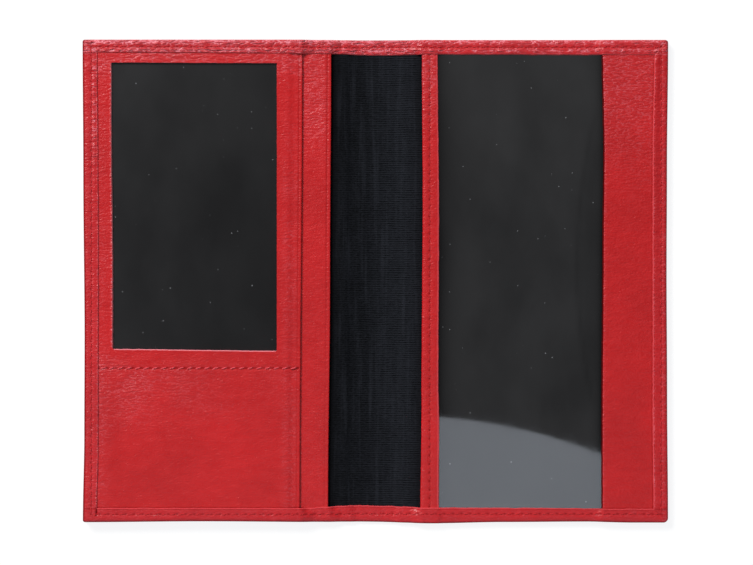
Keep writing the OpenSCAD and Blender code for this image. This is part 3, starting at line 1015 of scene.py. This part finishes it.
def pressed_line(inside, y, crease_in):
    """Depth and painted shade of the line pressed beside a mouth, fainter towards the bottom."""
    pressed = 0.4 + 0.6 * smooth((y + 30) / 60)
    depth = 0.12 * pressed * bump(inside - crease_in, 0.24)
    return depth, 0.3 * pressed * bump(inside - crease_in, 0.22)


def free_of_edge(x, y):
    """0 where the turned edge holds a sheet down, 1 further in."""
    rim = np.minimum(HALF_W - np.abs(x), HALF_H - np.abs(y))
    return smooth((rim - 3.2) / 1.2)


def facing():
    """The leather facing along the rear pocket's mouth, creased beside its edge."""
    end = FACING_HIGH[0]
    crease = end - FACING_CREASE_IN
    xs = lines(FACING_LOW[0], end, 0.7, (crease, crease + 0.4))
    ys = lines(-HELD_Y, HELD_Y, 0.8)
    u, y = grid(xs, ys)
    x = u + (eased(y, FACING_MOUTH) - end) * smooth((u - end + 9) / 8)
    inside = end - u
    along, across = 0.84 * x + 0.54 * y, 0.84 * y - 0.54 * x
    diagonal = layered(along, across, (1, 4.2, 0.9, 100), (0.6, 7, 2.1, 101))
    wrinkled = smooth((y - 38) / 20) * smooth((inside - 1) / 1.5)
    relief = leather_relief(x, y, 102) * 0.6 + 0.12 * diagonal * wrinkled
    relief = np.minimum(relief * smooth((inside - 0.2) / 1.5), 0.06)
    depth, dark = pressed_line(inside, y, FACING_CREASE_IN)
    free = 1 - smooth((np.abs(y) - 79) / 1.5)
    z = FACING_HIGH[2] - rolled_edge(inside, 0.34) + (relief - depth) * free
    # dark is the painted shade of the pressed line; the last value is wear with painted highlight,
    # most on the upper wrinkles
    made = slab("rear_pocket_facing_leather", stacked(x, y, z), stacked(x, y, FACING_LOW[2]),
                [POCKET_RED], dark, 0.08 + 0.5 * wrinkled)
    lay_sheet(made, ["rear_pocket_facing"],
              "left_cover")


def panel_wear_and_highlight(u, x, y, in_rows):
    """Where the panel is paled by wear and painted highlights: its top, its lower corner, beside
    its mouth, and the left cut.
    """
    from_left = HELD_X + x
    below = DIVIDER_Y - y
    lower = smooth((WINDOW_LOW - y) / 6)
    to_left = 1 - smooth((x + 92) / 50)
    wear_and_highlight = 0.8 * smooth((y - 66) / 11)
    wear_and_highlight = wear_and_highlight + lower * (1 - smooth((below - 4) / 24)) * (0.15 + 0.42 * to_left)
    wear_and_highlight = wear_and_highlight + 0.3 * smooth((from_left - 2) / 3) * (1 - smooth((from_left - 5) / 4))
    mouth = 0.3 * smooth((x + 34) / 3) * smooth((PANEL_HIGH[0] - u - 1.2) / 0.5)
    wear_and_highlight = np.maximum(wear_and_highlight, mouth) * (0.8 + 0.5 * noise(x, y, 9, 6, 119))
    # Painted highlight on the top edge of the left cut, whose face is turned from the light
    cut = bump(u - WINDOW_LEFT + 0.1, 0.3) * in_rows * (0.6 + uneven(y, 0.6, 0.7, 115))
    return wear_and_highlight + 3.0 * np.clip(cut, 0, 1)


def window_panel():
    """The leather panel with its window, the crease along its mouth and the divider's gathers."""
    end = PANEL_HIGH[0]
    xs = lines(-HELD_X, end, 0.75, (-96.5, WINDOW_LEFT, WINDOW_RIGHT, end - CREASE_IN))
    beside_seam = (-1.1, -0.75, -0.45, -0.2, 0, 0.2, 0.45, 0.75, 1.1)
    ys = lines(-HELD_Y, HELD_Y, 0.75, (WINDOW_TOP, WINDOW_LOW, DIVIDER_Y, -79.1), beside_seam)
    u, y = grid(xs, ys)
    x = u + (eased(y, PANEL_MOUTH) - end) * smooth((u - end + 8) / 7)
    inside = end - u

    # The cut runs a little unevenly and leans, so its left and bottom faces show
    to_right = smooth((u - WINDOW_LEFT) / (WINDOW_RIGHT - WINDOW_LEFT))
    stray_x = bump(u - WINDOW_LEFT, 1.2) * (uneven(y, 0.05, 2.1, 110) + 0.5 * smooth((58 - y) / 60))
    stray_x = stray_x + bump(u - WINDOW_RIGHT, 0.9) * uneven(y, 0.04, 2.6, 111)
    stray_y = bump(y - WINDOW_TOP, 0.9) * (uneven(u, 0.04, 2.3, 112) - 0.2 * to_right)
    stray_y = stray_y + bump(y - WINDOW_LOW, 1.2) * (uneven(u, 0.05, 2.2, 113) - 0.6 * to_right)
    in_rows = smooth((y - WINDOW_LOW) / 0.5) * smooth((WINDOW_TOP - y) / 0.5)
    in_columns = smooth((u - WINDOW_LEFT) / 0.5) * smooth((WINDOW_RIGHT - u) / 0.5)
    lean_x = -0.3 * in_rows * (1 - smooth((WINDOW_LEFT - u) / 1.2)) * (u <= WINDOW_LEFT)
    lean_y = -0.34 * in_columns * (1 - smooth((WINDOW_LOW - y) / 1.2)) * (y <= WINDOW_LOW)

    below = DIVIDER_Y - y
    lower = smooth((WINDOW_LOW - y) / 6)
    gathers = 0.05 * noise(x, y, 1.4, 5, 117) * smooth(below / 0.6) * (1 - smooth((below - 2) / 6))
    creased = 0.02 * noise(x, y, 5.5, 1.0, 118) * lower * (1 - smooth((below - 8) / 14))
    relief = leather_relief(x, y, 114) * (0.5 + 0.5 * lower) + gathers + creased
    relief = np.minimum(relief, 0.1) - DIVIDER_SEAM.pull(x, y)
    relief = relief + 0.02 * (bump(below + 1.2, 0.6) + bump(below - 1.2, 0.6))
    depth, dark = pressed_line(inside, y, CREASE_IN)
    free = free_of_edge(u, y)
    z = PANEL_HIGH[2] - rolled_edge(inside, 0.36) + (relief - depth) * free
    droop = 0.42 * smooth((u - WINDOW_FILM_HIGH[0] - 0.2) / 2.4) * free
    top = stacked(x + stray_x + lean_x, y + stray_y + lean_y, z - droop)
    bottom = stacked(x + stray_x, y + stray_y, PANEL_LOW[2] - droop)
    middle_x, middle_y = (xs[:-1] + xs[1:]) / 2, (ys[:-1] + ys[1:]) / 2
    hole = ((middle_x > WINDOW_LEFT) & (middle_x < WINDOW_RIGHT))[:, None]
    hole = hole & ((middle_y > WINDOW_LOW) & (middle_y < WINDOW_TOP))[None, :]
    # Painted shade: the divider's holes, the pressed line and the turned edge's shadow
    dark = np.maximum(np.maximum(DIVIDER_SEAM.dark(x, y), dark), hem_shadow(-1, x, y))
    made = slab("window_panel_leather", top, bottom, [POCKET_RED, PALE_EDGE],
                dark, panel_wear_and_highlight(u, x, y, in_rows), ~hole)
    flat = (xs[-1] - xs[0], 2 * HELD_Y)
    cut = (WINDOW_RIGHT - WINDOW_LEFT) * (WINDOW_TOP - WINDOW_LOW)
    lay_sheet(made, ["window_panel"], "left_cover",
              flat[0] * flat[1] - cut)


def film_sheet(name, node_name, xs, ys, material, dark, body):
    """A thin clear film that lies a little uneven."""
    low, high = cad_box(node_name)
    x, y = grid(xs, ys)
    edge = np.minimum(np.minimum(x - xs[0], xs[-1] - x), np.minimum(y - ys[0], ys[-1] - y))
    wave = layered(x, y, (0.008, 42, 60, 120), (0.001, 12, 17, 121)) - 0.02
    wave = wave * smooth(edge / 6)
    top = stacked(x, y, high[2] - 0.005 + wave)
    bottom = stacked(x, y, low[2] + wave)
    made = slab(name, top, bottom, [material], dark(x, y))
    lay_sheet(made, [node_name], body)


def window_film():
    """The film behind the window, darker towards the spine."""
    def dark(x, y):
        return 0.3 * smooth((x + 92) / 52)

    xs = lines(-HELD_X, WINDOW_FILM_HIGH[0], 3.0)
    ys = lines(WINDOW_FILM_LOW[1], HELD_Y, 3.0)
    film_sheet("window_film_sheet", "window_film", xs, ys, WINDOW_FILM, dark,
               "left_cover")


def clear_pocket():
    """The clear pocket's film, with a faint painted shade line that bows down its outer side where
    the film's bulge shows in its reflection, and painted shadow beside the strip and the binding.
    """
    bow_x, bow_y, bow_curve = 70.7, 6.0, 0.0023

    def dark(x, y):
        line = x - bow_x - bow_curve * (y - bow_y) ** 2
        along = smooth((y + 54) / 14) * smooth((68 - y) / 14)
        faint = along * (0.2 * bump(line, 0.9) + 0.14 * smooth(line / 3))
        beside_strip = 0.85 * np.exp(-np.maximum(eased(y, STRIP_EDGE) - x, 0) / 1.3)
        beside_binding = 0.8 * np.exp(-np.maximum(x - eased(y, BINDING_RIGHT), 0) / 3.4)
        return np.maximum(faint, np.maximum(beside_strip, beside_binding))

    xs = lines(CLEAR_LOW[0] + 0.15, HELD_X, 1.2, (22.3, 78.9, 79.5))
    ys = lines(-HELD_Y, HELD_Y, 2.4)
    film_sheet("clear_pocket_sheet", "clear_pocket_film", xs, ys, FILM, dark,
               "right_cover")


def film_binding():
    """The strip of leather folded round the film's mouth and sewn along its middle."""
    ys = np.linspace(HELD_Y, -HELD_Y, 441)
    low, high = BINDING_LOW[2], BINDING_HIGH[2]
    depth = high - low
    fold = depth / 2
    left = eased(ys, BINDING_LEFT) + uneven(ys, 0.05, 6, 130)
    right = eased(ys, BINDING_RIGHT) + uneven(ys, 0.06, 4, 131)
    width = right - left
    rows = []

    def add(x, z):
        """A row of points from the top to the bottom."""
        rows.append(stacked(x, ys, z))

    def over(share, z):
        """A row along the top at this share of the width."""
        x = left + width * share
        from_seam = x - BINDING_SEAM_X
        puff = 0.05 * (bump(from_seam + 1.2, 0.7) + bump(from_seam - 1.3, 0.8))
        ripple = layered(x, ys, (0.035, 3, 1.7, 132), (0.03, 6, 4, 133))
        add(x, z + puff + ripple - BINDING_SEAM.pull(x, ys))

    for x in (right, left + width * 0.75, left + width * 0.4):
        add(x, low)
    for turn in np.radians([90, 55, 20, -10, -35, -60, -80]):
        add(left + fold * (1 - math.cos(turn)), low + fold - fold * math.sin(turn))
    for share in (0.26, 0.34, 0.395, 0.44, 0.48, 0.515, 0.56, 0.62, 0.72, 0.82, 0.9):
        over(share, high)
    over(0.955, high - 0.03)
    # Down the cut, in over the film, round its mouth and out again under it
    inner = left + CLEAR_LOW[2] - low + 0.1
    above, below = CLEAR_HIGH[2] + 0.01, CLEAR_LOW[2] - 0.01
    for x, z in ((right - 0.08, high - 0.14), (right, above), (inner, above), (inner, below),
                 (right, below)):
        add(x, z)

    points = np.array(rows)
    index = np.arange(points.shape[0] * points.shape[1]).reshape(points.shape[:2])
    ahead = np.roll(index, -1, axis=0)
    quads = np.stack([index[:, :-1], index[:, 1:], ahead[:, 1:], ahead[:, :-1]], -1)
    faces = [tuple(q) for q in quads.reshape(-1, 4)] + [tuple(index[:, 0]), tuple(index[:, -1])]
    cut_rows = range(len(rows) - 7, len(rows) - 4)
    kinds = [int(j in cut_rows) for j in range(len(rows)) for _ in range(len(ys) - 1)] + [0, 0]
    x, y, z = points.reshape(-1, 3).T
    # Painted shade in the seam's holes, and wear with painted highlight towards the top
    values = {
        "shade": 0.7 * BINDING_SEAM.dark(x, y) * (z > high - 0.6),
        "wear_and_highlight": 0.1 + 0.6 * smooth((y - 45) / 30),
    }
    made = add_piece("film_binding_leather", points.reshape(-1, 3), faces, [POCKET_RED, RED_EDGE],
                     values, kinds, 50)
    lay_sheet(made, ["film_binding"], "right_cover")


def outer_strip():
    """The leather strip that covers the clear pocket's outer side."""
    start = STRIP_LOW[0]
    xs = lines(start, HELD_X, 0.8, (97.0,))
    ys = lines(-HELD_Y, HELD_Y, 0.8, (-79.4,))
    u, y = grid(xs, ys)
    inside = u - start
    shift = eased(y, STRIP_EDGE) - start + uneven(y, 0.06, 3.0, 140)
    x = u + shift * (1 - smooth(inside / 8))
    relief = leather_relief(x, y, 141) + 0.02 * noise(x, y, 9, 1.6, 144)
    relief = np.minimum(relief, 0.1) * smooth(inside / 2) - 0.05 * bump(inside, 0.5)
    lean = 0.38 * (1 - smooth(inside / 1.2))
    top = stacked(x + lean, y, STRIP_HIGH[2] + relief * free_of_edge(u, y))
    bottom = stacked(x, y, STRIP_LOW[2] + 0.01)
    # Wear and painted highlight: paler towards the top and just inside the cut edge
    wear_and_highlight = 0.05 + 0.55 * smooth((y - 20) / 55) + 0.6 * bump(inside - 0.5, 0.3)
    # Painted shade: full on the cut edge's face, and a little everywhere, as the right side gets
    # less light
    dark = np.where(inside < 1e-6, 1.0, np.maximum(0.06, hem_shadow(1, x, y)))
    made = slab("outer_strip_leather", top, bottom, [POCKET_RED], dark, wear_and_highlight)
    lay_sheet(made, ["outer_strip"],
              "right_cover")


# Threads


def thread_row(name, seams, surface_height, material=THREAD, lean=0.16, radius=THREAD_R,
               below=False):
    """A row of stitches. Each comes out of a hole, lies over the leather and goes into the next."""
    rings, spokes = 9, 8
    proud, way = (0.0, -1) if below else (0.1, 1)
    t = np.linspace(0, 1, rings)
    turn = np.linspace(0, 2 * math.pi, spokes, endpoint=False)
    size = radius * (0.72 + 0.28 * np.sin(math.pi * t))
    across = np.cos(turn)[None, :] * size[:, None]
    up = 0.8 * np.sin(turn)[None, :] * size[:, None]
    index = np.arange(rings * spokes).reshape(rings, spokes)
    ahead = np.roll(index, -1, axis=1)
    quads = np.stack([index[:-1], ahead[:-1], ahead[1:], index[1:]], -1).reshape(-1, 4)
    one_stitch = [tuple(q) for q in quads] + [tuple(index[0]), tuple(index[-1])]
    points, faces, twists = [], [], []
    for seam in seams:
        side_way = np.array([-seam.along[1], seam.along[0]])
        dive = bump(t * seam.pitch, seam.hole_radius) + bump((1 - t) * seam.pitch, seam.hole_radius)
        for k in range(seam.count):
            s = (k + STITCH_GAP + (1 - 2 * STITCH_GAP) * t) * seam.pitch
            plan = seam.start + np.outer(s, seam.along) + np.outer(lean * (2 * t - 1), side_way)
            z = surface_height(plan[:, 0], plan[:, 1]) + way * (proud - 0.62 * dive)
            ring = np.stack([
                plan[:, 0, None] + side_way[0] * across,
                plan[:, 1, None] + side_way[1] * across,
                z[:, None] + up,
            ], -1)
            base = len(points) * index.size
            faces += [tuple(v + base for v in face) for face in one_stitch]
            twists.append(s[:, None] * 2 * math.pi / THREAD_TURN + 2 * turn[None, :])
            points.append(ring.reshape(-1, 3))
    return add_piece(name, np.vstack(points), faces, [material],
                     {"twist": np.array(twists).ravel()}, sharp=70)


def rim_surface(side):
    """Height of the turned edge along its seam."""
    def height(x, y):
        return stack_top(x) + TURN_T + turned_relief(side, x, y) - 0.1
    return height


def level(z):
    """A surface at one height."""
    def height(x, y):
        return np.full_like(x, z)
    return height


def build_threads():
    """All rows of stitches, on the inside of the cover and on its back."""
    for side, word in SIDE_WORD.items():
        seams = EDGE_SEAMS[side]
        bend_at_spine(thread_row(f"edge_seam_{word}", seams, rim_surface(side)), side)
        bend_at_spine(thread_row(f"edge_seam_{word}_back", seams, level(0.24), below=True), side)
    divider = thread_row("divider_seam", [DIVIDER_SEAM], level(PANEL_HIGH[2] - 0.02), PALE_THREAD,
                         0.3, 0.26)
    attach(divider, "left_cover")
    binding = thread_row("binding_seam", [BINDING_SEAM], level(BINDING_HIGH[2] - 0.06))
    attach(binding, "right_cover")


# The table, the lights and the camera


IMAGE_W, IMAGE_H = 753, 565
PIXEL = 0.349
PHOTO_ZERO = (375.05, 280.45)
LENS, SENSOR = 135.0, 36.0
VIEW_LEVEL = 3.3
CAMERA_X = (IMAGE_W / 2 - PHOTO_ZERO[0]) * PIXEL
CAMERA_Y = (PHOTO_ZERO[1] - IMAGE_H / 2) * PIXEL
CAMERA_RISE = IMAGE_W * PIXEL * LENS / SENSOR

# The mirror image seen on the clear film, and its height over the film in camera heights
MIRROR_LEFT, MIRROR_RIGHT, MIRROR_LOW = 12.0, 90.0, -105.0
MIRROR_RISE = 1.25


def build_camera():
    """Looks straight down at the open cover, as the photo looks at it square on."""
    data = bpy.data.cameras.new("camera")
    data.lens = LENS
    data.sensor_width = SENSOR
    data.clip_start, data.clip_end = 0.05, 30
    camera = bpy.data.objects.new("camera", data)
    camera.location = (CAMERA_X * MM, CAMERA_Y * MM, (VIEW_LEVEL + CAMERA_RISE) * MM)
    bpy.context.scene.collection.objects.link(camera)
    bpy.context.scene.camera = camera


def is_seen(tree):
    """1 for what the camera sees, straight, in a gloss or through something clear."""
    path = node(tree, "LightPath")
    seen = math_node(tree, "MAXIMUM", path.outputs["Is Camera Ray"], path.outputs["Is Glossy Ray"])
    return math_node(tree, "MAXIMUM", seen, path.outputs["Is Transmission Ray"])


def flat_stage(name, corners, material):
    """A flat piece of the surroundings, from its corners in millimetres."""
    mesh = bpy.data.meshes.new(name)
    mesh.from_pydata((np.array(corners) * MM).tolist(), [], [tuple(range(len(corners)))])
    mesh.materials.append(material)
    made = bpy.data.objects.new(name, mesh)
    bpy.context.scene.collection.objects.link(made)
    return made


def square(reach, z):
    """The corners of a level square."""
    return [(-reach, -reach, z), (reach, -reach, z), (reach, reach, z), (-reach, reach, z)]


def build_table():
    """A white table top that keeps a faint shadow of the cover."""
    made, tree = new_material("white_table")
    bounce = node(tree, "BsdfDiffuse", {"Color": (0.8, 0.8, 0.81, 1)})
    soft = node(tree, "BsdfDiffuse", {"Color": (0.2, 0.19, 0.18, 1)})
    glow = node(tree, "Emission", {"Color": (0.97, 0.985, 1.0, 1), "Strength": 0.88})
    shown = node(tree, "AddShader", {0: soft.outputs[0], 1: glow.outputs[0]})
    both = node(tree, "MixShader", {0: is_seen(tree), 1: bounce.outputs[0], 2: shown.outputs[0]})
    output(tree, both)
    flat_stage("table", square(6000, 0), made)


def reflected_board(name, corners, material):
    """A board that is seen only in glossy reflections."""
    board = flat_stage(name, corners, material)
    board.visible_camera = False
    board.visible_diffuse = False
    board.visible_transmission = False
    board.visible_shadow = False


def lit(name, strength, colour):
    """A material that only shines."""
    made, tree = new_material(name)
    output(tree, node(tree, "Emission", {"Color": (*colour, 1), "Strength": strength}))
    return made


def build_reflections():
    """The white table's mirror image low on the clear film, and the dark room above it."""
    grow = 1 + MIRROR_RISE
    height = CAMERA_RISE * MIRROR_RISE + CLEAR_HIGH[2]
    xs = np.linspace(MIRROR_LEFT, MIRROR_RIGHT, 14)
    fall = xs - BINDING_HIGH[0]
    seen = [*zip(xs, -47.65 - 0.07 * fall - 0.00274 * fall ** 2)]
    seen += [(MIRROR_RIGHT, MIRROR_LOW), (MIRROR_LEFT, MIRROR_LOW)]
    corners = [(CAMERA_X + (x - CAMERA_X) * grow, CAMERA_Y + (y - CAMERA_Y) * grow, height)
               for x, y in seen]
    reflected_board("white_reflection", corners, lit("white_board", 3.4, (0.92, 1.0, 1.12)))

    dark, tree = new_material("dark_room")
    place = node(tree, "TexCoord").outputs["Object"]
    along = node(tree, "SeparateXYZ", {0: place}).outputs[1]
    output(tree, node(tree, "Emission", {"Strength": remap(tree, along, 0.04, 0.2, 0.02, 0.24)}))
    reflected_board("dark_reflection", square(1500, height + 60), dark)

    front, half, top = -112, 250, 250
    upright = [(-half, front, 0), (half, front, 0), (half, front, top), (-half, front, top)]
    reflected_board("front_reflection", upright, lit("pale_board", 0.8, (0.9, 0.95, 1.1)))


def build_light():
    """One soft lamp from the upper left and plain light from all round."""
    data = bpy.data.lights.new("key", "AREA")
    data.shape = "RECTANGLE"
    data.size, data.size_y = 0.9, 0.7
    data.energy = 52.0
    lamp = bpy.data.objects.new("key", data)
    lamp.location = (-1.1, 1.36, 1.55)
    aim = -lamp.location.normalized()
    lamp.rotation_mode = "QUATERNION"
    lamp.rotation_quaternion = aim.to_track_quat("-Z", "Y")
    bpy.context.scene.collection.objects.link(lamp)

    world = bpy.data.worlds.new("room")
    world.use_nodes = True
    world.node_tree.nodes.clear()
    tree = world.node_tree
    glossy = node(tree, "LightPath").outputs["Is Glossy Ray"]
    strength = remap(tree, glossy, 0.0, 1.0, 0.3, 0.05)
    back = node(tree, "Background", {"Color": (0.96, 0.98, 1.0, 1), "Strength": strength})
    node(tree, "OutputWorld", {"Surface": back.outputs[0]})
    bpy.context.scene.world = world
    bpy.context.scene.view_settings.view_transform = "Standard"


def build_cards():
    """The hidden cards keep their CAD solids and get a board's finish."""
    for name in ("left_stiffener", "right_stiffener"):
        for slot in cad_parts[name].material_slots:
            slot.material = BOARD


build_cards()
cover_lining(-1)
cover_lining(1)
pocket_cloth()
facing()
window_film()
window_panel()
clear_pocket()
film_binding()
outer_strip()
outer_leather(-1)
outer_leather(1)
build_threads()
build_table()
build_light()
build_reflections()
build_camera()
